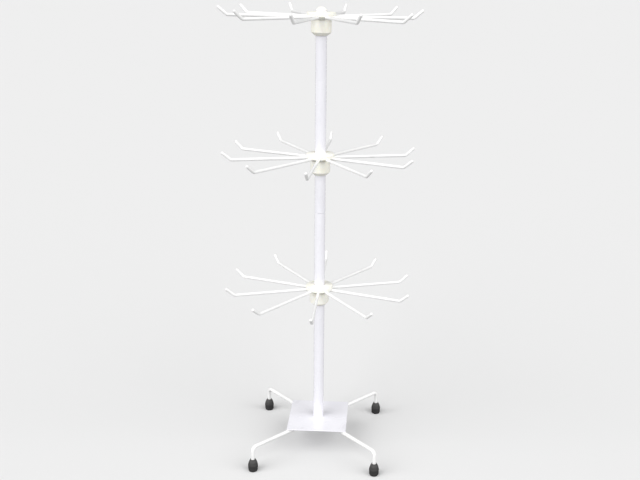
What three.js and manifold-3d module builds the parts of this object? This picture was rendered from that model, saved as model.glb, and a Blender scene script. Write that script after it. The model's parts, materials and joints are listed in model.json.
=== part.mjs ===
// Rotating display rack: a pole on a four-legged base carries three tiers of ten wire arms, and
// each tier turns on the pole by itself, resting on a collar that is screwed to the pole.
// Millimetres, +Z up. The origin is on the floor, on the pole's axis, and +Y is the back.

import * as THREE from "three";
import { mergeVertices } from "three/addons/utils/BufferGeometryUtils.js";
import Module from "manifold-3d";

const wasm = await Module();
wasm.setup();

// ---- Driving dimensions ----

const GAP = 0.3; // round a piece that slides, turns or rests in another
const PRESS_GAP = 0.1; // round a piece that is pressed into another
const EASED_EDGE = 0.6;

// Base
const FOOT_RING_RADIUS = 131; // pole axis to foot axis
const PLATE_SIDE = 93;
const PLATE_THICKNESS = 1.5;
const PLATE_TOP = 45;
const PLATE_CORNER_RADIUS = 3;
const LEG_RADIUS = 3;
const LEG_BEND_RADIUS = 7;
const LEG_INNER_END = 28; // how near the pole's axis a leg runs under the plate

// Rubber foot: its outline from the sole up
const FOOT_SOLE_RADIUS = 5.8;
const FOOT_EDGE_RADIUS = 7;
const FOOT_EDGE_HEIGHT = 1;
const FOOT_WIDEST_RADIUS = 7.6;
const FOOT_WIDEST_HEIGHT = 10;
const FOOT_SHOULDER_RADIUS = 6.3;
const FOOT_SHOULDER_HEIGHT = 15.5;
const FOOT_LIP_RADIUS = 3.8;
const FOOT_HEIGHT = 20;
const FOOT_SOLE_THICKNESS = 4;

// Pole
const POLE_RADIUS = 8;
const POLE_WALL = 1.2;
const POLE_SPLIT = 388.5; // height of the joint between the two lengths
const POLE_TOP = 680.6;
const JOINER_LENGTH = 60;
const JOINER_WALL = 1.5;
const DOME_HEIGHT = 5;
const DOME_SKIRT = 0.6; // the upright part of the dome's height, flush with the pole
const DOME_STEM_LENGTH = 12;

// Bolt that holds the pole to the plate
const BOLT_RADIUS = 3.8;
const BOLT_HEAD_RADIUS = 7.5; // from the axis to a corner of the hexagon
const BOLT_HEAD_HEIGHT = 5.3;
const BOLT_REACH = 12; // above the plate's top
const NUT_LENGTH = 15;
const WASHER_RADIUS = 8.5;
const WASHER_THICKNESS = 1.6;

// Tiers: height of the arms' plane, and how far the tier is turned at rest, in degrees
const TIERS = [
  { name: "bottom", height: 266, restTurn: 17.5 },
  { name: "middle", height: 472, restTurn: 15 },
  { name: "top", height: 672, restTurn: 6.5 },
];
const ARMS_PER_TIER = 10;
const WIRE_RADIUS = 2.3;
const ARM_BEND_AT = 130; // pole axis to the corner where the tip turns up
const ARM_BEND_RADIUS = 5;
const TIP_LENGTH = 15.5; // corner to the centre of the rounded end
const TIP_RISE = THREE.MathUtils.degToRad(40);

// Hub and flange, measured from the arms' plane
const HUB_BORE = POLE_RADIUS + GAP;
const SLEEVE_RADIUS = 10;
const SLEEVE_TOP = 5.2;
const HUB_UNDERSIDE = -3.4;
const HUB_LOWER_RADIUS = 14;
const HUB_UPPER_RADIUS = 17.5;
const FLANGE_RADIUS = 20.5;
const FLANGE_CROWN = 7.7;
const FLANGE_RIM_TOP = 6.4;
const FLANGE_EDGE = 1;

// Collar under each hub, measured from the arms' plane
const COLLAR_RADIUS = 14.5;
const COLLAR_TOP = HUB_UNDERSIDE - GAP;
const COLLAR_TAPER_TOP = -21;
const COLLAR_BOTTOM = -25.4;
const COLLAR_LIP_RADIUS = 9.3;
const SCREW_HEIGHT = -13;
const SCREW_RADIUS = 1.9;
const SCREW_POINT_RADIUS = 1.3;
const SCREW_KEY_RADIUS = 1.1;
const SCREW_KEY_DEPTH = 2;

// Facets round a circle
const ROUND = 24;
const FOOT_FACETS = 18;
const ROD_FACETS = 12;
const WIRE_FACETS = 8;

// ---- Finishes ----

const POLE_ENAMEL = { color: "#efedf6", roughness: 0.35, metalness: 0 };
const WIRE_ENAMEL = { color: "#f6f6f5", roughness: 0.35, metalness: 0 };
const IVORY_PLASTIC = { color: "#f3efdc", roughness: 0.45, metalness: 0 };
const BLACK_RUBBER = { color: "#242424", roughness: 0.7, metalness: 0 };
const ZINC_STEEL = { color: "#b9bcc0", roughness: 0.4, metalness: 0.9 };

// ---- Solids and booleans ----

// A closed geometry as a manifold-3d solid.
function toSolid(geometry) {
  const bare = new THREE.BufferGeometry();
  bare.setAttribute("position", geometry.getAttribute("position"));
  bare.setIndex(geometry.index);
  const merged = mergeVertices(bare);
  return new wasm.Manifold(
    new wasm.Mesh({
      numProp: 3,
      vertProperties: new Float32Array(merged.getAttribute("position").array),
      triVerts: new Uint32Array(merged.index.array),
    }),
  );
}

function toGeometry(solid) {
  const mesh = solid.getMesh();
  const geometry = new THREE.BufferGeometry();
  geometry.setAttribute("position", new THREE.BufferAttribute(mesh.vertProperties, 3));
  geometry.setIndex(new THREE.BufferAttribute(mesh.triVerts, 1));
  geometry.computeVertexNormals();
  return geometry;
}

function join(first, second) {
  return toGeometry(toSolid(first).add(toSolid(second)));
}

function cut(geometry, tools) {
  let solid = toSolid(geometry);
  for (const tool of tools) {
    solid = solid.subtract(toSolid(tool));
  }
  return toGeometry(solid);
}

// A solid turned about the Z axis. The outline lists [radius, height] anticlockwise: up on the
// outside and down on the inside. It starts and ends on the axis, or closes if it has a bore.
function turned(outline, facets = ROUND) {
  const points = outline.map(([radius, height]) => new THREE.Vector2(radius, height));
  if (outline[0][0] > 0) {
    points.push(points[0].clone());
  }
  return new THREE.LatheGeometry(points, facets).rotateX(Math.PI / 2);
}

function ring(inner, outer, low, high) {
  return turned([
    [inner, low],
    [outer, low],
    [outer, high],
    [inner, high],
  ]);
}

// A drill that points along Y at the given height.
function drillAlongY(radius, height, fromY, toY) {
  const drill = new THREE.CylinderGeometry(radius, radius, toY - fromY, ROD_FACETS);
  return drill.translate(0, (fromY + toY) / 2, height);
}

// A rod's centreline: straight to an arc that rounds one corner, then straight again. It is only
// ever sampled at its own stations: both ends, both ends of the arc and steps along the arc.
class BentLine extends THREE.Curve {
  constructor(start, corner, end, bendRadius, bendSteps) {
    super();
    const before = corner.clone().sub(start).normalize();
    const after = end.clone().sub(corner).normalize();
    const turn = before.angleTo(after);
    const axis = before.clone().cross(after).normalize();
    const inward = after.clone().sub(before).normalize();
    const centre = corner.clone().addScaledVector(inward, bendRadius / Math.cos(turn / 2));
    this.stations = [{ point: start, tangent: before }];
    for (let step = 0; step <= bendSteps; step++) {
      const tangent = before.clone().applyAxisAngle(axis, (turn * step) / bendSteps);
      const outward = tangent.clone().cross(axis);
      const point = centre.clone().addScaledVector(outward, bendRadius);
      this.stations.push({ point, tangent });
    }
    this.stations.push({ point: end, tangent: after });
  }

  stationAt(share) {
    return this.stations[Math.round(share * (this.stations.length - 1))];
  }

  getPointAt(share, target = new THREE.Vector3()) {
    return target.copy(this.stationAt(share).point);
  }

  getTangentAt(share, target = new THREE.Vector3()) {
    return target.copy(this.stationAt(share).tangent);
  }
}

function rodAlong(path, steps, radius, facets) {
  const section = new THREE.Shape().absarc(0, 0, radius, 0, 2 * Math.PI);
  return new THREE.ExtrudeGeometry(section, {
    steps,
    curveSegments: facets / 2, // a full circle gets twice this many sides
    extrudePath: path,
  });
}

function bentRod(start, corner, end, bendRadius, bendSteps, radius, facets) {
  const path = new BentLine(start, corner, end, bendRadius, bendSteps);
  return rodAlong(path, path.stations.length - 1, radius, facets);
}

function outwards(distance, height) {
  return new THREE.Vector3(distance, 0, height);
}

// ---- Base ----

const PLATE_UNDERSIDE = PLATE_TOP - PLATE_THICKNESS;
const LEG_HEIGHT = PLATE_UNDERSIDE - GAP - LEG_RADIUS;

function plateGeometry() {
  const arcCentre = PLATE_SIDE / 2 - PLATE_CORNER_RADIUS;
  const quarter = Math.PI / 2;
  const outline = new THREE.Shape();
  [[1, 1], [-1, 1], [-1, -1], [1, -1]].forEach(([sideX, sideY], corner) => {
    const from = corner * quarter;
    outline.absarc(sideX * arcCentre, sideY * arcCentre, PLATE_CORNER_RADIUS, from, from + quarter);
  });
  const sheet = new THREE.ExtrudeGeometry(outline, {
    depth: PLATE_THICKNESS,
    bevelEnabled: false,
    curveSegments: 2,
  });
  const holeRadius = BOLT_RADIUS + GAP;
  const hole = new THREE.CylinderGeometry(holeRadius, holeRadius, 4 * PLATE_THICKNESS, ROUND);
  return cut(sheet, [hole.rotateX(Math.PI / 2)]).translate(0, 0, PLATE_UNDERSIDE);
}

// A rod from under the plate out to a bend, then down into its foot.
function legGeometry() {
  const start = outwards(LEG_INNER_END, LEG_HEIGHT);
  const corner = outwards(FOOT_RING_RADIUS, LEG_HEIGHT);
  const end = outwards(FOOT_RING_RADIUS, FOOT_SOLE_THICKNESS + GAP);
  return bentRod(start, corner, end, LEG_BEND_RADIUS, 5, LEG_RADIUS, ROD_FACETS);
}

// A bell-shaped ferrule with a flat sole, a sloping shoulder and a blind socket for the leg.
function footGeometry() {
  const socketRadius = LEG_RADIUS + GAP;
  const outline = [
    [0, 0],
    [FOOT_SOLE_RADIUS, 0],
    [FOOT_EDGE_RADIUS, FOOT_EDGE_HEIGHT],
    [FOOT_WIDEST_RADIUS, FOOT_WIDEST_HEIGHT],
    [FOOT_SHOULDER_RADIUS, FOOT_SHOULDER_HEIGHT],
    [FOOT_LIP_RADIUS, FOOT_HEIGHT],
    [socketRadius, FOOT_HEIGHT],
    [socketRadius, FOOT_SOLE_THICKNESS],
    [0, FOOT_SOLE_THICKNESS],
  ];
  return turned(outline, FOOT_FACETS);
}

// ---- Pole ----

const TUBE_BORE = POLE_RADIUS - POLE_WALL;
const PLUG_RADIUS = TUBE_BORE - PRESS_GAP; // of what is pressed into the tube

// A length of tube with eased ends, drilled at the back for the collar screws on it.
function tubeGeometry(low, high) {
  const tube = turned([
    [TUBE_BORE, low],
    [POLE_RADIUS - EASED_EDGE, low],
    [POLE_RADIUS, low + EASED_EDGE],
    [POLE_RADIUS, high - EASED_EDGE],
    [POLE_RADIUS - EASED_EDGE, high],
    [TUBE_BORE, high],
  ]);
  const drills = TIERS.filter(({ height }) => height > low && height < high).map(({ height }) => {
    const holeRadius = SCREW_POINT_RADIUS + GAP;
    return drillAlongY(holeRadius, height + SCREW_HEIGHT, TUBE_BORE - POLE_WALL, POLE_RADIUS + POLE_WALL);
  });
  return cut(tube, drills);
}

// A short tube inside the pole that lines its two lengths up.
function joinerGeometry() {
  const half = JOINER_LENGTH / 2;
  return ring(PLUG_RADIUS - JOINER_WALL, PLUG_RADIUS, POLE_SPLIT - half, POLE_SPLIT + half);
}

// A plug in the top of the pole, domed over and as wide as the pole, so a tier can be lifted off over it.
function endCapGeometry() {
  const seat = POLE_TOP + PRESS_GAP;
  const stemBottom = seat - DOME_STEM_LENGTH;
  const outline = [
    [0, stemBottom],
    [PLUG_RADIUS - EASED_EDGE, stemBottom],
    [PLUG_RADIUS, stemBottom + EASED_EDGE],
    [PLUG_RADIUS, seat],
    [POLE_RADIUS, seat],
  ];
  const crown = DOME_HEIGHT - DOME_SKIRT;
  const sphere = (POLE_RADIUS ** 2 + crown ** 2) / (2 * crown);
  const edgeAngle = Math.asin(POLE_RADIUS / sphere);
  const arcSteps = 5;
  for (let step = 0; step < arcSteps; step++) {
    const angle = edgeAngle * (1 - step / arcSteps);
    outline.push([sphere * Math.sin(angle), seat + DOME_HEIGHT - sphere * (1 - Math.cos(angle))]);
  }
  outline.push([0, seat + DOME_HEIGHT]);
  return turned(outline);
}

// A plug in the bottom of the pole that the base bolt screws into.
function footNutGeometry() {
  return ring(BOLT_RADIUS + GAP, PLUG_RADIUS, PLATE_TOP, PLATE_TOP + NUT_LENGTH);
}

const WASHER_UNDERSIDE = PLATE_UNDERSIDE - WASHER_THICKNESS;

function washerGeometry() {
  return ring(BOLT_RADIUS + GAP, WASHER_RADIUS, WASHER_UNDERSIDE, PLATE_UNDERSIDE);
}

function boltGeometry() {
  const headMiddle = WASHER_UNDERSIDE - BOLT_HEAD_HEIGHT / 2;
  const shankEnd = PLATE_TOP + BOLT_REACH;
  const head = new THREE.CylinderGeometry(BOLT_HEAD_RADIUS, BOLT_HEAD_RADIUS, BOLT_HEAD_HEIGHT, 6);
  head.rotateX(Math.PI / 2).translate(0, 0, headMiddle);
  const shankOutline = [
    [0, headMiddle],
    [BOLT_RADIUS, headMiddle],
    [BOLT_RADIUS, shankEnd - EASED_EDGE],
    [BOLT_RADIUS - EASED_EDGE, shankEnd],
    [0, shankEnd],
  ];
  return join(head, turned(shankOutline, ROD_FACETS));
}

// ---- Collar and its set screw, measured from the arms' plane ----

function collarGeometry() {
  const bore = POLE_RADIUS + PRESS_GAP;
  const body = turned([
    [bore, COLLAR_BOTTOM],
    [COLLAR_LIP_RADIUS, COLLAR_BOTTOM],
    [COLLAR_RADIUS, COLLAR_TAPER_TOP],
    [COLLAR_RADIUS, COLLAR_TOP - EASED_EDGE],
    [COLLAR_RADIUS - EASED_EDGE, COLLAR_TOP],
    [bore, COLLAR_TOP],
  ]);
  const screwHole = drillAlongY(SCREW_RADIUS + GAP, SCREW_HEIGHT, POLE_RADIUS - 1, COLLAR_RADIUS + 1);
  return cut(body, [screwHole]);
}

// The set screw points at the pole, and its tip sits in the hole drilled in the pole's wall.
function screwGeometry() {
  const shoulder = POLE_RADIUS + EASED_EDGE;
  const head = COLLAR_RADIUS - EASED_EDGE;
  const outline = [
    [0, TUBE_BORE],
    [SCREW_POINT_RADIUS, TUBE_BORE],
    [SCREW_POINT_RADIUS, shoulder],
    [SCREW_RADIUS, shoulder + EASED_EDGE],
    [SCREW_RADIUS, head],
    [SCREW_KEY_RADIUS, head],
    [SCREW_KEY_RADIUS, head - SCREW_KEY_DEPTH],
    [0, head - SCREW_KEY_DEPTH],
  ];
  return turned(outline, ROD_FACETS).rotateX(-Math.PI / 2).translate(0, 0, SCREW_HEIGHT);
}

// ---- Hub, flange and arms, in the tier's own frame ----

// A wire from its root in the hub, out to a bend and up to its rounded tip.
function armGeometry() {
  const root = outwards(SLEEVE_RADIUS + 2 * GAP, 0);
  const corner = outwards(ARM_BEND_AT, 0);
  const run = TIP_LENGTH * Math.cos(TIP_RISE);
  const rise = TIP_LENGTH * Math.sin(TIP_RISE);
  const tip = outwards(ARM_BEND_AT + run, rise);
  const wire = bentRod(root, corner, tip, ARM_BEND_RADIUS, 3, WIRE_RADIUS, WIRE_FACETS);
  const roundedEnd = new THREE.SphereGeometry(WIRE_RADIUS, WIRE_FACETS, 4);
  roundedEnd.rotateY(Math.PI / 2 - TIP_RISE).translate(tip.x, tip.y, tip.z);
  return join(wire, roundedEnd);
}

// The arms' sockets, which the hub and the flange are both cut with.
function socketTools() {
  const path = new THREE.LineCurve3(outwards(SLEEVE_RADIUS + GAP / 2, 0), outwards(2 * FLANGE_RADIUS, 0));
  const tools = [];
  for (let arm = 0; arm < ARMS_PER_TIER; arm++) {
    const tool = rodAlong(path, 1, WIRE_RADIUS + GAP, WIRE_FACETS);
    tools.push(tool.rotateZ((2 * Math.PI * arm) / ARMS_PER_TIER));
  }
  return tools;
}

// Lower half: a tapered core with half of each socket, and the sleeve that turns on the pole.
function hubGeometry(sockets) {
  const parting = -GAP / 2;
  const hub = turned([
    [HUB_BORE, HUB_UNDERSIDE],
    [HUB_LOWER_RADIUS, HUB_UNDERSIDE],
    [HUB_UPPER_RADIUS, parting],
    [SLEEVE_RADIUS, parting],
    [SLEEVE_RADIUS, SLEEVE_TOP],
    [HUB_BORE, SLEEVE_TOP],
  ]);
  return cut(hub, sockets);
}

// Upper half: a crowned flange with the other half of each socket, pressed over the sleeve.
function flangeGeometry(sockets) {
  const parting = GAP / 2;
  const flange = turned([
    [SLEEVE_RADIUS + GAP, parting],
    [FLANGE_RADIUS, parting],
    [FLANGE_RADIUS, FLANGE_RIM_TOP - FLANGE_EDGE],
    [FLANGE_RADIUS - FLANGE_EDGE, FLANGE_RIM_TOP],
    [HUB_BORE, FLANGE_CROWN],
    [HUB_BORE, SLEEVE_TOP + GAP],
    [SLEEVE_RADIUS + GAP, SLEEVE_TOP + GAP],
  ]);
  return cut(flange, sockets);
}

// ---- The rack ----

function part(name, geometry, finish) {
  const mesh = new THREE.Mesh(geometry, new THREE.MeshStandardMaterial(finish));
  mesh.name = name;
  return mesh;
}

function buildBase() {
  const base = new THREE.Group();
  base.add(part("base_plate", plateGeometry(), POLE_ENAMEL));
  ["back_right", "back_left", "front_left", "front_right"].forEach((place, quarter) => {
    const foot = part(`foot_${place}`, footGeometry(), BLACK_RUBBER);
    foot.position.x = FOOT_RING_RADIUS;
    const corner = new THREE.Group();
    corner.rotation.z = Math.PI / 4 + (quarter * Math.PI) / 2;
    corner.add(part(`leg_${place}`, legGeometry(), WIRE_ENAMEL), foot);
    base.add(corner);
  });
  return base;
}

function buildPole() {
  const pole = new THREE.Group();
  pole.add(
    part("lower_pole", tubeGeometry(PLATE_TOP, POLE_SPLIT), POLE_ENAMEL),
    part("upper_pole", tubeGeometry(POLE_SPLIT + GAP, POLE_TOP), POLE_ENAMEL),
    part("pole_joiner", joinerGeometry(), ZINC_STEEL),
    part("pole_end_cap", endCapGeometry(), IVORY_PLASTIC),
    part("pole_foot_nut", footNutGeometry(), ZINC_STEEL),
    part("base_bolt", boltGeometry(), ZINC_STEEL),
    part("base_washer", washerGeometry(), ZINC_STEEL),
  );
  return pole;
}

function buildCollar({ name, height }) {
  const collar = new THREE.Group();
  collar.position.z = height;
  collar.add(
    part(`${name}_collar`, collarGeometry(), IVORY_PLASTIC),
    part(`${name}_collar_screw`, screwGeometry(), ZINC_STEEL),
  );
  return collar;
}

function buildTier({ name, height, restTurn }) {
  const tier = new THREE.Group();
  tier.position.z = height;
  tier.rotation.z = THREE.MathUtils.degToRad(restTurn);
  const sockets = socketTools();
  tier.add(
    part(`${name}_hub`, hubGeometry(sockets), IVORY_PLASTIC),
    part(`${name}_flange`, flangeGeometry(sockets), IVORY_PLASTIC),
  );
  for (let arm = 0; arm < ARMS_PER_TIER; arm++) {
    const number = String(arm + 1).padStart(2, "0");
    const wire = part(`${name}_arm_${number}`, armGeometry(), WIRE_ENAMEL);
    wire.rotation.z = (2 * Math.PI * arm) / ARMS_PER_TIER;
    tier.add(wire);
  }
  return tier;
}

const rack = new THREE.Group();
rack.add(buildBase(), buildPole());
for (const tier of TIERS) {
  rack.add(buildCollar(tier), buildTier(tier));
}

export default rack;
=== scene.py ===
"""Rotating display rack: fine surfaces, finishes, floor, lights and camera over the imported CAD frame.

Metres, +Z up, front towards -Y. Every piece is built where its CAD node is and rides on the same body.
"""

import json
import math
import random

import bmesh
import bpy
from mathutils import Matrix, Vector


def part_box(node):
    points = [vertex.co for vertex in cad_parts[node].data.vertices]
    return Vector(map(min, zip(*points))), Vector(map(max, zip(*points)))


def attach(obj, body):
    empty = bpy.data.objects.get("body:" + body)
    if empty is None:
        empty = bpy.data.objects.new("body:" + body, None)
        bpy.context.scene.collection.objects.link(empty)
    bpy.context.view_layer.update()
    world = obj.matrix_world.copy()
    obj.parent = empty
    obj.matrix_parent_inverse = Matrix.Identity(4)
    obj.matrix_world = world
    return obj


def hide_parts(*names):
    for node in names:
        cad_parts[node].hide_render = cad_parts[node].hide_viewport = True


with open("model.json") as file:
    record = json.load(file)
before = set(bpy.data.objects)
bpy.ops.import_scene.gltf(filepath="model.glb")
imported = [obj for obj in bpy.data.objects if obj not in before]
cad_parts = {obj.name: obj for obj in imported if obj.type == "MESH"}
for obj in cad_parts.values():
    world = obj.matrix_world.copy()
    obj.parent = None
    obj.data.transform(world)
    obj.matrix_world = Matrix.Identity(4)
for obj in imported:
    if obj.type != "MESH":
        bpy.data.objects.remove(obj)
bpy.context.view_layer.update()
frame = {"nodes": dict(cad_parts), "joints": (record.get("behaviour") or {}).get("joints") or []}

MM = 0.001
TIERS = ("bottom", "middle", "top")
CORNERS = ("back_right", "back_left", "front_left", "front_right")
ARMS_PER_TIER = 10

# ---- Sizes in millimetres; heights of tier pieces are from the arms' plane ----

GAP = 0.3  # between neighbours that don't touch
PRESS_GAP = 0.1  # round a piece that is pressed into another

WIRE_RADIUS = 2.3
ARM_ROOT = 10.6  # pole axis to the arm's inner end
ARM_BEND_AT = 130
ARM_BEND_RADIUS = 5
TIP_LENGTH = 15.5
TIP_RISE = math.radians(40)
ARM_WANDER = math.radians(0.35)  # how far a hand-set arm may stray from its true heading

SOCKET_RADIUS = 2.45
SOCKET_START = 10.15  # pole axis to the socket's inner end
HUB_BORE = 8.3
SLEEVE_RADIUS = 10
SLEEVE_TOP = 5.2
HUB_UNDERSIDE = -3.4
HUB_LOWER_RADIUS = 14
HUB_UPPER_RADIUS = 17.5
PARTING = 0.15  # half the gap between the hub and the flange
FLANGE_RADIUS = 20.5
FLANGE_CROWN = 7.7
FLANGE_RIM_TOP = 6.4

COLLAR_BORE = 8.1
COLLAR_RADIUS = 14.5
COLLAR_TOP = -3.7
COLLAR_TAPER_TOP = -21
COLLAR_BOTTOM = -25.4
COLLAR_LIP_RADIUS = 9.3
SCREW_HEIGHT = -13
SCREW_RADIUS = 1.9
SCREW_POINT_RADIUS = 1.3
SCREW_HOLE_RADIUS = 2.2
SCREW_RECESS = 0.6  # how far the screw's head sits inside the collar
SCREW_END = 6.8  # pole axis to the screw's inner end
SCREW_POINT_END = 8.6  # where the point starts to widen to the thread
SCREW_THREAD_START = 9.2
SCREW_SOCKET_FLAT = 1
SCREW_SOCKET_DEPTH = 2

POLE_WALL = 1.2
POLE_EDGE = 0.4
POLE_BORE_EDGE = 0.2
CAP_STEM_RADIUS = 6.7
CAP_SKIRT = 0.6  # the upright part under the cap's dome

PLATE_CORNER_RADIUS = 3
PLATE_ROLL = 0.5  # radius of the plate's rolled edges
LEG_RADIUS = 3
LEG_BEND_RADIUS = 7
LEG_INNER_END = 28
WELD_START = 32  # pole axis to the weld's inner end
WELD_END = 56
WELD_RADIUS = 1.25
WELD_RIPPLE = 0.16
WELD_UNEVENNESS = 0.06
FOOT_SOLE_RADIUS = 6.2
FOOT_EDGE_RADIUS = 7.2
FOOT_EDGE_HEIGHT = 2
FOOT_WIDEST_RADIUS = 7.6
FOOT_WIDEST_HEIGHT = 10
FOOT_SHOULDER_RADIUS = 6.3
FOOT_SHOULDER_HEIGHT = 15.5
FOOT_LIP_RADIUS = 3.8
FOOT_HEIGHT = 20
FOOT_SOLE_THICKNESS = 4
BOLT_RADIUS = 3.8
BOLT_HEAD_FLAT = 6.5  # middle to flat
BOLT_HEAD_ROUND = 6.3  # where the head's corners are turned off
BOLT_DISH_RIM = 5.7
BOLT_DISH_RADIUS = 5.2
WASHER_RADIUS = 8.5

# ---- Surfaces ----


def circle(radius, sides):
    """Points round a circle, or the one point at its middle."""
    if radius == 0:
        return [Vector((0, 0))]
    angles = [2 * math.pi * side / sides for side in range(sides)]
    return [Vector((radius * math.cos(a), radius * math.sin(a))) for a in angles]


def hexagon(flat, sides):
    """Points round a hexagon whose flats are this far from its middle."""
    points = []
    for direction in circle(1, sides):
        angle = math.atan2(direction.y, direction.x)
        off_flat = (angle + math.pi / 6) % (math.pi / 3) - math.pi / 6
        points.append(direction * flat / math.cos(off_flat))
    return points


def skin(rings, looped=False):
    """A surface over rings of points. A ring of one point closes an end; looped joins the ends."""
    surface = bmesh.new()
    rows = [[surface.verts.new(point * MM) for point in ring] for ring in rings]
    if looped:
        rows.append(rows[0])
    for lower, upper in zip(rows, rows[1:]):
        count = max(len(lower), len(upper))
        for i in range(count):
            j = (i + 1) % count
            corners = (
                lower[i % len(lower)],
                lower[j % len(lower)],
                upper[j % len(upper)],
                upper[i % len(upper)],
            )
            surface.faces.new(list(dict.fromkeys(corners)))
    bmesh.ops.recalc_face_normals(surface, faces=surface.faces)
    return surface


def rounded(corners, closed, steps=5):
    """An outline through (radius, height, fillet) corners, with an arc wherever the fillet isn't 0."""
    outline = []
    for i, (radius, height, fillet) in enumerate(corners):
        here = Vector((radius, height))
        if fillet == 0 or (not closed and i in (0, len(corners) - 1)):
            outline.append(here)
            continue
        back = (Vector(corners[i - 1][:2]) - here).normalized()
        ahead = (Vector(corners[(i + 1) % len(corners)][:2]) - here).normalized()
        half_angle = back.angle(ahead) / 2
        centre = here + (back + ahead).normalized() * fillet / math.sin(half_angle)
        reach = fillet / math.tan(half_angle)
        first = here + back * reach - centre
        last = here + ahead * reach - centre
        for step in range(steps + 1):
            outline.append(centre + first.lerp(last, step / steps).normalized() * fillet)
    return outline


def lathe(corners, sides=72):
    """A surface turned about Z. It closes on itself round a bore, or starts and ends on the axis."""
    closed = corners[0][0] > 0
    outline = rounded(corners, closed)
    return stack([(circle(radius, sides), height) for radius, height in outline], looped=closed)


def stack(layers, looped=False):
    """A surface over (section, height) layers along Z. looped joins the last layer to the first."""
    rings = []
    for section, height in layers:
        rings.append([point.to_3d() + Vector((0, 0, height)) for point in section])
    return skin(rings, looped)


def plug(radius, bottom, top, sides=48):
    """A plain round solid along Z, for cutting holes."""
    ends = [(0, bottom), (radius, bottom), (radius, top), (0, top)]
    return stack([(circle(girth, sides), height) for girth, height in ends])


def bend(start, corner, end, radius, steps):
    """(point, direction) stations along two straights and the arc between them."""
    before = (corner - start).normalized()
    after = (end - corner).normalized()
    turn = before.angle(after)
    axis = before.cross(after).normalized()
    centre = corner + (after - before).normalized() * radius / math.cos(turn / 2)
    stations = [(start, before)]
    for step in range(steps + 1):
        direction = Matrix.Rotation(turn * step / steps, 3, axis) @ before
        stations.append((centre + direction.cross(axis) * radius, direction))
    stations.append((end, after))
    return stations


def rod(stations, sides):
    """A surface round a centreline in the XZ plane, through (point, direction, radius) stations."""
    across = Vector((0, 1, 0))
    rings = []
    for point, direction, radius in stations:
        upwards = direction.cross(across)
        section = circle(radius, sides)
        rings.append([point + across * offset.x + upwards * offset.y for offset in section])
    return skin(rings)


def flat_end(point, direction, radius, ease, leaving):
    """Stations for a cut end with its edge eased. leaving is true at the rod's last end."""
    inward = -direction if leaving else direction
    stations = [
        (point, direction, 0),
        (point, direction, radius - ease),
        (point + inward * ease, direction, radius),
    ]
    return stations[::-1] if leaving else stations


def round_end(point, direction, radius, steps=6):
    """Stations for a domed last end whose centre is the point."""
    stations = []
    for step in range(steps + 1):
        angle = step / steps * math.pi / 2
        girth = radius * math.cos(angle) if step < steps else 0
        stations.append((point + direction * radius * math.sin(angle), direction, girth))
    return stations


# ---- Pieces ----

SHARP_ANGLE = math.radians(40)  # faces that meet at more than this are shaded with a hard edge


def place(surface, turn=0.0, height=0.0):
    """Turns a surface about Z, then lifts it by a height in metres."""
    matrix = Matrix.Translation((0, 0, height)) @ Matrix.Rotation(turn, 4, "Z")
    bmesh.ops.transform(surface, matrix=matrix, verts=surface.verts)
    return surface


def to_object(name, surface):
    mesh = bpy.data.meshes.new(name)
    surface.to_mesh(mesh)
    surface.free()
    obj = bpy.data.objects.new(name, mesh)
    bpy.context.scene.collection.objects.link(obj)
    return obj


def carve(obj, surface):
    """Cuts a surface's solid out of an object's."""
    cutter = to_object("cutter", surface)
    modifier = obj.modifiers.new("carve", "BOOLEAN")
    modifier.operation = "DIFFERENCE"
    modifier.solver = "EXACT"
    modifier.object = cutter
    depsgraph = bpy.context.evaluated_depsgraph_get()
    carved = bpy.data.meshes.new_from_object(obj.evaluated_get(depsgraph))
    obj.modifiers.clear()
    obj.data = carved
    bpy.data.objects.remove(cutter)


def finish_piece(obj, material, body, nodes=()):
    """Shades a piece, gives it its material, and puts it on its body in place of its CAD nodes."""
    obj.data.shade_smooth()
    obj.data.set_sharp_from_angle(angle=SHARP_ANGLE)
    obj.data.materials.clear()
    obj.data.materials.append(material)
    weighted = obj.modifiers.new("even shading", "WEIGHTED_NORMAL")
    weighted.keep_sharp = True
    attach(obj, body)
    if nodes:
        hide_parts(*nodes)


def heading_of(node):
    """Which way a radial CAD piece points from the pole, as an angle about Z."""
    vertices = frame["nodes"][node].data.vertices
    middle = sum((vertex.co for vertex in vertices), Vector()) / len(vertices)
    return math.atan2(middle.y, middle.x)


def height_of(tier):
    """The height of a tier's arms, in metres."""
    return next(j["pos_m"][2] for j in frame["joints"] if j["child"] == f"{tier}_tier")


# ---- Finishes ----


def new_finish(name):
    material = bpy.data.materials.new(name)
    material.use_nodes = True
    tree = material.node_tree
    return material, tree, tree.nodes["Principled BSDF"]


def noise(tree, scale, detail=2.0, squeeze=(1, 1, 1)):
    """Smooth noise with about this many blobs a metre, times the squeeze along each axis."""
    coordinates = tree.nodes.new("ShaderNodeTexCoord")
    mapping = tree.nodes.new("ShaderNodeMapping")
    mapping.inputs["Scale"].default_value = squeeze
    texture = tree.nodes.new("ShaderNodeTexNoise")
    texture.inputs["Scale"].default_value = scale
    texture.inputs["Detail"].default_value = detail
    tree.links.new(coordinates.outputs["Object"], mapping.inputs["Vector"])
    tree.links.new(mapping.outputs["Vector"], texture.inputs["Vector"])
    return texture.outputs["Fac"]


def remap(tree, value, low, high, to_low, to_high):
    node = tree.nodes.new("ShaderNodeMapRange")
    node.inputs["From Min"].default_value = low
    node.inputs["From Max"].default_value = high
    node.inputs["To Min"].default_value = to_low
    node.inputs["To Max"].default_value = to_high
    tree.links.new(value, node.inputs["Value"])
    return node.outputs["Result"]


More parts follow.
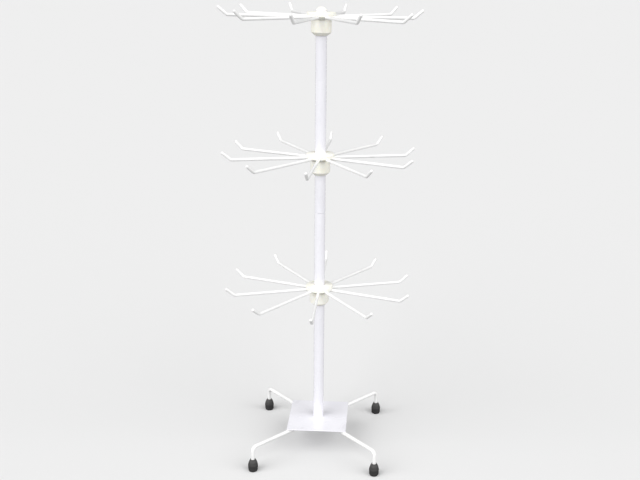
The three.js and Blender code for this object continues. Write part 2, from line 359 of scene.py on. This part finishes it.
def mix_colours(tree, share, first, second):
    """first where share is 0 and second where it is 1; either may be a colour or a node's output."""
    node = tree.nodes.new("ShaderNodeMix")
    node.data_type = "RGBA"
    tree.links.new(share, node.inputs["Factor"])
    first_colour, second_colour = node.inputs[6:8]  # the sockets a Mix node shows for colours
    mixed_colour = node.outputs[2]
    for socket, colour in ((first_colour, first), (second_colour, second)):
        if isinstance(colour, tuple):
            socket.default_value = (*colour, 1)
        else:
            tree.links.new(colour, socket)
    return mixed_colour


def add_bump(tree, shader, height, depth):
    """Adds relief of this depth in metres on top of any the shader already has."""
    node = tree.nodes.new("ShaderNodeBump")
    node.inputs["Distance"].default_value = depth
    tree.links.new(height, node.inputs["Height"])
    if shader.inputs["Normal"].is_linked:
        tree.links.new(shader.inputs["Normal"].links[0].from_socket, node.inputs["Normal"])
    tree.links.new(node.outputs["Normal"], shader.inputs["Normal"])


RUBBED_TINT = 0.93  # how much darker enamel is where it is rubbed
RUBBED_ROUGHNESS = 0.16  # and how much rougher


def enamel(name, colour, shade, gloss, rub_squeeze):
    """Baked powder coat: orange peel, faint mottling, rubbed streaks and a few dust nibs."""
    material, tree, shader = new_finish(name)
    mottle = remap(tree, noise(tree, 30, detail=4), 0.35, 0.65, 0, 1)
    rubbed = remap(tree, noise(tree, 60, detail=5, squeeze=rub_squeeze), 0.56, 0.72, 0, 1)
    nibs = remap(tree, noise(tree, 420), 0.76, 0.84, 0, 1)
    base = mix_colours(tree, mottle, colour, shade)
    dulled = tuple(RUBBED_TINT * channel for channel in shade)
    tree.links.new(mix_colours(tree, rubbed, base, dulled), shader.inputs["Base Color"])
    roughness = remap(tree, rubbed, 0, 1, gloss, gloss + RUBBED_ROUGHNESS)
    tree.links.new(roughness, shader.inputs["Roughness"])
    shader.inputs["Coat Weight"].default_value = 0.3
    shader.inputs["Coat Roughness"].default_value = 0.12
    add_bump(tree, shader, noise(tree, 700, detail=1), 0.00004)
    add_bump(tree, shader, nibs, 0.00006)
    return material


def ivory_plastic():
    """Moulded plastic, slightly translucent, with yellowed patches and a fine satin grain."""
    material, tree, shader = new_finish("ivory_plastic")
    yellowing = remap(tree, noise(tree, 55, detail=4), 0.38, 0.66, 0, 1)
    colour = mix_colours(tree, yellowing, (0.965, 0.955, 0.885), (0.95, 0.93, 0.83))
    grime = remap(tree, noise(tree, 240, detail=6), 0.62, 0.8, 0, 0.3)
    tree.links.new(mix_colours(tree, grime, colour, (0.70, 0.66, 0.55)), shader.inputs["Base Color"])
    tree.links.new(remap(tree, noise(tree, 120, detail=3), 0.3, 0.7, 0.34, 0.5), shader.inputs["Roughness"])
    shader.inputs["Subsurface Weight"].default_value = 0.08
    shader.inputs["Subsurface Radius"].default_value = (1.0, 0.8, 0.5)
    shader.inputs["Subsurface Scale"].default_value = 0.0015
    add_bump(tree, shader, noise(tree, 2200, detail=2), 0.00002)
    add_bump(tree, shader, noise(tree, 180, detail=1), 0.00008)
    return material


def black_rubber():
    """Moulded rubber with a pebbled skin, and a pale colour on whatever faces up, partly dust and partly a
    painted highlight.
    """
    material, tree, shader = new_finish("black_rubber")
    geometry = tree.nodes.new("ShaderNodeNewGeometry")
    split = tree.nodes.new("ShaderNodeSeparateXYZ")
    tree.links.new(geometry.outputs["Normal"], split.inputs["Vector"])
    # Faces that point up get a paler colour in patches: partly dust, partly a painted highlight for the
    # light from above.
    facing_up = remap(tree, split.outputs["Z"], 0.05, 0.6, 0, 0.8)
    patches = remap(tree, noise(tree, 330, detail=5), 0.3, 0.7, 0.55, 1)
    dust_and_highlight = tree.nodes.new("ShaderNodeMath")
    dust_and_highlight.operation = "MULTIPLY"
    tree.links.new(facing_up, dust_and_highlight.inputs[0])
    tree.links.new(patches, dust_and_highlight.inputs[1])
    body = mix_colours(tree, patches, (0.012, 0.012, 0.013), (0.028, 0.027, 0.027))
    # The pale colour on upward faces is partly dust and partly painted highlight.
    dusty_and_highlit = mix_colours(tree, dust_and_highlight.outputs[0], body, (0.1, 0.098, 0.096))
    tree.links.new(dusty_and_highlit, shader.inputs["Base Color"])
    tree.links.new(remap(tree, patches, 0, 1, 0.55, 0.8), shader.inputs["Roughness"])
    add_bump(tree, shader, noise(tree, 1600, detail=3), 0.00006)
    return material


def zinc_steel():
    """Zinc plate: bright metal, faintly blue and straw in patches, with a fine grain."""
    material, tree, shader = new_finish("zinc_steel")
    patches = remap(tree, noise(tree, 300, detail=3), 0.35, 0.65, 0, 1)
    colour = mix_colours(tree, patches, (0.56, 0.59, 0.64), (0.66, 0.63, 0.55))
    tree.links.new(colour, shader.inputs["Base Color"])
    shader.inputs["Metallic"].default_value = 1
    tree.links.new(remap(tree, noise(tree, 900, detail=4), 0.3, 0.7, 0.26, 0.5), shader.inputs["Roughness"])
    add_bump(tree, shader, noise(tree, 2600, detail=2), 0.00002)
    return material


POLE_ENAMEL = enamel("pole_enamel", (0.87, 0.865, 0.91), (0.845, 0.84, 0.89), 0.24, (1, 1, 7))
WIRE_ENAMEL = enamel("wire_enamel", (0.93, 0.93, 0.925), (0.89, 0.89, 0.885), 0.3, (1, 1, 1))
IVORY_PLASTIC = ivory_plastic()
BLACK_RUBBER = black_rubber()
ZINC_STEEL = zinc_steel()

# ---- Base ----

PLATE_LOW, PLATE_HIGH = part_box("base_plate")
PLATE_UNDERSIDE = PLATE_LOW.z / MM
PLATE_TOP = PLATE_HIGH.z / MM
LEG_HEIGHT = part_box("leg_front_left")[1].z / MM - LEG_RADIUS
FOOT_LOW, FOOT_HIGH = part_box("foot_back_right")
FOOT_RING_RADIUS = (FOOT_LOW + FOOT_HIGH).to_2d().length / 2 / MM


def plate_section(half, corner_radius, steps=8):
    """A square with rounded corners, as points round its outline."""
    points = []
    for quarter in range(4):
        corner = Matrix.Rotation(quarter * math.pi / 2, 2) @ Vector((1, 1))
        for step in range(steps + 1):
            angle = (quarter + step / steps) * math.pi / 2
            arc = Vector((math.cos(angle), math.sin(angle))) * corner_radius
            points.append(corner * (half - corner_radius) + arc)
    return points


def build_plate():
    """Pressed sheet with softly rolled edges, open round the base bolt."""
    half = (PLATE_HIGH.x - PLATE_LOW.x) / 2 / MM
    steps = 4
    roll = []
    for step in range(steps + 1):
        angle = step / steps * math.pi / 2
        inset = PLATE_ROLL * (1 - math.sin(angle))
        depth = PLATE_ROLL * (1 - math.cos(angle))
        roll.append((plate_section(half - inset, PLATE_CORNER_RADIUS - inset), depth))
    layers = [(circle(0, 1), PLATE_UNDERSIDE)]
    layers += [(section, PLATE_UNDERSIDE + depth) for section, depth in roll]
    layers += [(section, PLATE_TOP - depth) for section, depth in reversed(roll)]
    layers.append((circle(0, 1), PLATE_TOP))
    plate = to_object("plate", stack(layers))
    carve(plate, plug(BOLT_RADIUS + GAP, 0, 2 * PLATE_TOP))
    finish_piece(plate, POLE_ENAMEL, "stand", ["base_plate"])


def build_leg(corner):
    """A rod from under the plate, bent down into its foot."""
    start = Vector((LEG_INNER_END, 0, LEG_HEIGHT))
    knee = Vector((FOOT_RING_RADIUS, 0, LEG_HEIGHT))
    end = Vector((FOOT_RING_RADIUS, 0, FOOT_SOLE_THICKNESS + GAP))
    line = bend(start, knee, end, LEG_BEND_RADIUS, steps=12)
    stations = flat_end(*line[0], LEG_RADIUS, ease=0.4, leaving=False)
    stations += [(point, direction, LEG_RADIUS) for point, direction in line[1:-1]]
    stations += flat_end(*line[-1], LEG_RADIUS, ease=0.4, leaving=True)
    surface = place(rod(stations, sides=28), turn=heading_of(f"leg_{corner}"))
    leg = to_object(f"rod_leg_{corner}", surface)
    finish_piece(leg, WIRE_ENAMEL, "stand", [f"leg_{corner}"])


def build_weld(corner, side):
    """A rippled weld bead in the angle between a leg and the plate's underside."""
    ripples = random.Random(f"{corner} {side}")
    depth = 0.9  # of the bead's middle below the plate
    aside = side * 0.85 * LEG_RADIUS
    taper_share = 1 / 6
    radians_a_step = 1.9
    steps = 40
    stations = []
    for step in range(steps + 1):
        share = step / steps
        taper = min(1, share / taper_share, (1 - share) / taper_share) ** 0.5
        uneven = ripples.uniform(-WELD_UNEVENNESS, WELD_UNEVENNESS)
        girth = taper * (WELD_RADIUS + WELD_RIPPLE * math.sin(step * radians_a_step) + uneven)
        along = WELD_START + (WELD_END - WELD_START) * share
        point = Vector((along, aside, PLATE_UNDERSIDE - depth))
        stations.append((point, Vector((1, 0, 0)), girth if 0 < step < steps else 0))
    surface = rod(stations, sides=12)
    place(surface, turn=heading_of(f"leg_{corner}"))
    bead = to_object(f"weld_{corner}_{'left' if side > 0 else 'right'}", surface)
    finish_piece(bead, WIRE_ENAMEL, "stand")


def build_foot(corner):
    """A bell-shaped rubber ferrule with a thin lip round the leg and a rounded sole."""
    socket_radius = LEG_RADIUS + GAP
    corners = [
        (0, 0, 0),
        (FOOT_SOLE_RADIUS, 0, 1.2),
        (FOOT_EDGE_RADIUS, FOOT_EDGE_HEIGHT, 2),
        (FOOT_WIDEST_RADIUS, FOOT_WIDEST_HEIGHT, 5),
        (FOOT_SHOULDER_RADIUS, FOOT_SHOULDER_HEIGHT, 14),
        (FOOT_LIP_RADIUS, FOOT_HEIGHT, 0.3),
        (socket_radius, FOOT_HEIGHT, 0.1),
        (socket_radius, FOOT_SOLE_THICKNESS, 0.3),
        (0, FOOT_SOLE_THICKNESS, 0),
    ]
    low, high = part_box(f"foot_{corner}")
    middle = (low + high) / 2
    surface = lathe(corners, sides=56)
    bmesh.ops.translate(surface, vec=(middle.x, middle.y, low.z), verts=surface.verts)
    foot = to_object(f"rubber_foot_{corner}", surface)
    finish_piece(foot, BLACK_RUBBER, "stand", [f"foot_{corner}"])


def build_bolt():
    """A hexagon-headed bolt, driven up through the washer into the pole's foot."""
    low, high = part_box("base_bolt")
    bottom, top = low.z / MM, high.z / MM
    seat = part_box("base_washer")[0].z / MM
    dish_depth = 0.3
    rim_rise = 0.1
    corner_rise = 0.75  # where the head has all of its corners
    seat_ease = 0.2
    point_ease = 0.6
    sides = 48
    layers = [
        (circle(0, sides), bottom + dish_depth),
        (circle(BOLT_DISH_RADIUS, sides), bottom + dish_depth),
        (circle(BOLT_DISH_RIM, sides), bottom),
        (circle(BOLT_HEAD_ROUND, sides), bottom + rim_rise),
        (hexagon(BOLT_HEAD_FLAT, sides), bottom + corner_rise),
        (hexagon(BOLT_HEAD_FLAT, sides), seat - seat_ease),
        (circle(BOLT_HEAD_ROUND, sides), seat),
        (circle(BOLT_RADIUS, sides), seat),
        (circle(BOLT_RADIUS, sides), top - point_ease),
        (circle(BOLT_RADIUS - point_ease, sides), top),
        (circle(0, sides), top),
    ]
    bolt = to_object("hex_bolt", stack(layers))
    finish_piece(bolt, ZINC_STEEL, "stand", ["base_bolt"])


def build_washer():
    """The stamped washer between the bolt's head and the plate."""
    low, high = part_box("base_washer")
    bottom, top = low.z / MM, high.z / MM
    bore = BOLT_RADIUS + GAP
    corners = [
        (bore, bottom, 0.1),
        (WASHER_RADIUS, bottom, 0.35),
        (WASHER_RADIUS, top, 0.15),
        (bore, top, 0.1),
    ]
    washer = to_object("washer", lathe(corners))
    finish_piece(washer, ZINC_STEEL, "stand", ["base_washer"])


# ---- Pole ----


def build_tube(name, node):
    """A length of the pole with its cut ends eased."""
    low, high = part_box(node)
    radius = (high.x - low.x) / 2 / MM
    bottom, top = low.z / MM, high.z / MM
    corners = [
        (radius - POLE_WALL, bottom, POLE_BORE_EDGE),
        (radius, bottom, POLE_EDGE),
        (radius, top, POLE_EDGE),
        (radius - POLE_WALL, top, POLE_BORE_EDGE),
    ]
    tube = to_object(name, lathe(corners, sides=96))
    finish_piece(tube, POLE_ENAMEL, "stand", [node])


def build_end_cap():
    """A plug pressed into the top of the pole, as wide as the pole and domed with part of a sphere."""
    low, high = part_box("pole_end_cap")
    bottom, top = low.z / MM, high.z / MM
    radius = (high.x - low.x) / 2 / MM
    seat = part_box("upper_pole")[1].z / MM + PRESS_GAP
    edge = seat + CAP_SKIRT
    sphere = (radius**2 + (top - edge) ** 2) / (2 * (top - edge))
    edge_angle = math.asin(radius / sphere)
    corners = [
        (0, bottom, 0),
        (CAP_STEM_RADIUS, bottom, 0.6),
        (CAP_STEM_RADIUS, seat, 0),
        (radius, seat, 0.25),
        (radius, edge, 0),
    ]
    steps = 14
    for step in range(1, steps + 1):
        angle = edge_angle * (1 - step / steps)
        girth = sphere * math.sin(angle) if step < steps else 0
        corners.append((girth, top - sphere * (1 - math.cos(angle)), 0))
    cap = to_object("end_cap", lathe(corners, sides=64))
    finish_piece(cap, IVORY_PLASTIC, "stand", ["pole_end_cap"])


def build_collar(tier):
    """The tapered collar a tier rests on, with a hole at the back for its set screw."""
    corners = [
        (COLLAR_BORE, COLLAR_BOTTOM, 0.3),
        (COLLAR_LIP_RADIUS, COLLAR_BOTTOM, 0.4),
        (COLLAR_RADIUS, COLLAR_TAPER_TOP, 0.6),
        (COLLAR_RADIUS, COLLAR_TOP, 0.7),
        (COLLAR_BORE, COLLAR_TOP, 0.3),
    ]
    collar = to_object(f"{tier}_stop_collar", place(lathe(corners), height=height_of(tier)))
    carve(collar, lay_along_y(plug(SCREW_HOLE_RADIUS, 0, 2 * COLLAR_RADIUS), tier))
    finish_piece(collar, IVORY_PLASTIC, "stand", [f"{tier}_collar"])


def lay_along_y(surface, tier):
    """Turns a surface built along Z to point out of the back of a tier's collar."""
    tip = Matrix.Rotation(-math.pi / 2, 4, "X")
    lift = Matrix.Translation((0, 0, height_of(tier) + SCREW_HEIGHT * MM))
    bmesh.ops.transform(surface, matrix=lift @ tip, verts=surface.verts)
    return surface


def build_set_screw(tier):
    """A socket set screw, its point through the pole's wall."""
    sides = 36
    head = COLLAR_RADIUS - SCREW_RECESS
    socket_end = head - SCREW_SOCKET_DEPTH
    ease = 0.3
    lead_in_width = 0.25
    lead_in_depth = 0.2
    drill_point = 0.4
    layers = [
        (circle(0, sides), SCREW_END),
        (circle(SCREW_POINT_RADIUS, sides), SCREW_END),
        (circle(SCREW_POINT_RADIUS, sides), SCREW_POINT_END),
        (circle(SCREW_RADIUS, sides), SCREW_THREAD_START),
        (circle(SCREW_RADIUS, sides), head - ease),
        (circle(SCREW_RADIUS - ease, sides), head),
        (circle(SCREW_SOCKET_FLAT + lead_in_width, sides), head),
        (hexagon(SCREW_SOCKET_FLAT, sides), head - lead_in_depth),
        (hexagon(SCREW_SOCKET_FLAT, sides), socket_end),
        (circle(0, sides), socket_end - drill_point),
    ]
    screw = to_object(f"{tier}_set_screw", lay_along_y(stack(layers), tier))
    finish_piece(screw, ZINC_STEEL, "stand", [f"{tier}_collar_screw"])


# ---- Tiers ----


def sockets(tier):
    """Ten round sockets that point out of a tier's hub, as one surface."""
    joined = bmesh.new()
    for arm in range(1, ARMS_PER_TIER + 1):
        start = Vector((SOCKET_START, 0, 0))
        end = Vector((2 * FLANGE_RADIUS, 0, 0))
        outwards = Vector((1, 0, 0))
        stations = [(start, outwards, 0), (start, outwards, SOCKET_RADIUS)]
        stations += [(end, outwards, SOCKET_RADIUS), (end, outwards, 0)]
        heading = heading_of(f"{tier}_arm_{arm:02d}")
        socket = place(rod(stations, sides=32), heading, height_of(tier))
        mesh = bpy.data.meshes.new("socket")
        socket.to_mesh(mesh)
        joined.from_mesh(mesh)
        bpy.data.meshes.remove(mesh)
        socket.free()
    return joined


def build_hub(tier):
    """The tapered core under the flange, and the sleeve that turns on the pole."""
    corners = [
        (HUB_BORE, HUB_UNDERSIDE, 0.3),
        (HUB_LOWER_RADIUS, HUB_UNDERSIDE, 0.5),
        (HUB_UPPER_RADIUS, -PARTING, 0.2),
        (SLEEVE_RADIUS, -PARTING, 0),
        (SLEEVE_RADIUS, SLEEVE_TOP, 0.3),
        (HUB_BORE, SLEEVE_TOP, 0.3),
    ]
    hub = to_object(f"{tier}_hub_core", place(lathe(corners), height=height_of(tier)))
    carve(hub, sockets(tier))
    finish_piece(hub, IVORY_PLASTIC, f"{tier}_tier", [f"{tier}_hub"])


def build_flange(tier):
    """The crowned disc that holds the arms' roots down on the hub."""
    corners = [
        (SLEEVE_RADIUS + GAP, PARTING, 0),
        (FLANGE_RADIUS, PARTING, 0.5),
        (FLANGE_RADIUS, FLANGE_RIM_TOP, 1.5),
        (HUB_BORE, FLANGE_CROWN, 0.5),
        (HUB_BORE, SLEEVE_TOP + GAP, 0),
        (SLEEVE_RADIUS + GAP, SLEEVE_TOP + GAP, 0),
    ]
    flange = to_object(f"{tier}_flange_disc", place(lathe(corners, sides=96), height=height_of(tier)))
    carve(flange, sockets(tier))
    finish_piece(flange, IVORY_PLASTIC, f"{tier}_tier", [f"{tier}_flange"])


def build_arm(tier, number):
    """A wire from its root in the hub, out to a bend and up to its rounded tip."""
    node = f"{tier}_arm_{number:02d}"
    set_by_hand = random.Random(node)
    root = Vector((ARM_ROOT, 0, 0))
    corner = Vector((ARM_BEND_AT, 0, 0))
    tip = corner + Vector((math.cos(TIP_RISE), 0, math.sin(TIP_RISE))) * TIP_LENGTH
    line = bend(root, corner, tip, ARM_BEND_RADIUS, steps=8)
    stations = flat_end(*line[0], WIRE_RADIUS, ease=0.3, leaving=False)
    stations += [(point, direction, WIRE_RADIUS) for point, direction in line[1:-1]]
    stations += round_end(*line[-1], WIRE_RADIUS)
    surface = rod(stations, sides=20)
    droop = Matrix.Rotation(set_by_hand.uniform(-ARM_WANDER, ARM_WANDER), 4, "Y")
    bmesh.ops.transform(surface, matrix=droop, verts=surface.verts)
    heading = heading_of(node) + set_by_hand.uniform(-ARM_WANDER, ARM_WANDER)
    wire = to_object(f"{tier}_wire_{number:02d}", place(surface, heading, height_of(tier)))
    finish_piece(wire, WIRE_ENAMEL, f"{tier}_tier", [node])


def dress_hidden_nodes():
    """The joiner and the threaded plug inside the pole keep their CAD shape, in zinc plate."""
    for node in ("pole_joiner", "pole_foot_nut"):
        materials = frame["nodes"][node].data.materials
        materials.clear()
        materials.append(ZINC_STEEL)


build_plate()
build_bolt()
build_washer()
for corner_name in CORNERS:
    build_leg(corner_name)
    build_weld(corner_name, side=1)
    build_weld(corner_name, side=-1)
    build_foot(corner_name)
build_tube("lower_tube", "lower_pole")
build_tube("upper_tube", "upper_pole")
build_end_cap()
for tier_name in TIERS:
    build_collar(tier_name)
    build_set_screw(tier_name)
    build_hub(tier_name)
    build_flange(tier_name)
    for arm_number in range(1, ARMS_PER_TIER + 1):
        build_arm(tier_name, arm_number)
dress_hidden_nodes()

# ---- Floor, light and camera ----

# Seen is how bright the camera sees a surface, and felt is how bright it is to the rack.
FLOOR_SEEN = 0.765
FLOOR_FELT = 0.4
SKY_FELT = 0.3
BACKDROP_SEEN = 0.862  # the lit floor's brightness, so that no horizon shows
FLOOR_HALF_SIDE = 40


def seen_or_felt(tree, node_type, seen, felt):
    """One shader's colour for what the camera sees, and another for the light it sends elsewhere."""
    rays = tree.nodes.new("ShaderNodeLightPath")
    choice = tree.nodes.new("ShaderNodeMixShader")
    tree.links.new(rays.outputs["Is Camera Ray"], choice.inputs["Fac"])
    for socket, level in ((choice.inputs[1], felt), (choice.inputs[2], seen)):
        shader = tree.nodes.new(node_type)
        shader.inputs["Color"].default_value = (level, level, level, 1)
        tree.links.new(shader.outputs[0], socket)
    return choice.outputs["Shader"]


def build_floor():
    """A plain pale floor that throws little light back, so the wires keep some shade underneath."""
    surface = bmesh.new()
    bmesh.ops.create_grid(surface, x_segments=1, y_segments=1, size=FLOOR_HALF_SIDE)
    floor = to_object("floor", surface)
    material, tree, shader = new_finish("floor")
    tree.nodes.remove(shader)
    colour = seen_or_felt(tree, "ShaderNodeBsdfDiffuse", seen=FLOOR_SEEN, felt=FLOOR_FELT)
    tree.links.new(colour, tree.nodes["Material Output"].inputs["Surface"])
    floor.data.materials.append(material)


def build_world():
    """Even light from all round, and a backdrop that runs on from the floor."""
    world = bpy.data.worlds.new("studio")
    world.use_nodes = True
    tree = world.node_tree
    tree.nodes.remove(tree.nodes["Background"])
    colour = seen_or_felt(tree, "ShaderNodeBackground", seen=BACKDROP_SEEN, felt=SKY_FELT)
    tree.links.new(colour, tree.nodes["World Output"].inputs["Surface"])
    bpy.context.scene.world = world


def add_sun(name, strength, softness, azimuth, elevation):
    """A soft sun. Azimuth 0 shines from the front, and 90 from the right."""
    light = bpy.data.lights.new(name, "SUN")
    light.energy = strength * math.pi
    light.angle = math.radians(softness)
    sun = bpy.data.objects.new(name, light)
    sun.rotation_euler = (math.radians(90 - elevation), 0, math.radians(azimuth))
    bpy.context.scene.collection.objects.link(sun)


def build_camera():
    """Stands in front, a little above the top tier, and looks slightly down."""
    distance, height = 1.1956, 0.7455
    round_pole = math.radians(4.34)
    aside = math.radians(3.24)
    down = math.radians(17.95)
    tilt = math.radians(1.44)
    camera = bpy.data.objects.new("camera", bpy.data.cameras.new("camera"))
    camera.data.sensor_width = 36
    camera.data.lens = 46.87
    camera.data.shift_x = -0.0698
    camera.data.shift_y = -0.0122
    camera.data.clip_start = 0.01
    position = Vector((distance * math.sin(round_pole), -distance * math.cos(round_pole), height))
    facing = Matrix.Rotation(round_pole - aside, 4, "Z") @ Matrix.Rotation(math.pi / 2 - down, 4, "X")
    camera.matrix_world = Matrix.Translation(position) @ facing @ Matrix.Rotation(tilt, 4, "Z")
    bpy.context.scene.collection.objects.link(camera)
    bpy.context.scene.camera = camera


build_floor()
build_world()
add_sun("left", strength=0.82, softness=60, azimuth=-50, elevation=34)
add_sun("right", strength=0.66, softness=60, azimuth=56, elevation=34)
build_camera()
bpy.context.scene.view_settings.view_transform = "Standard"
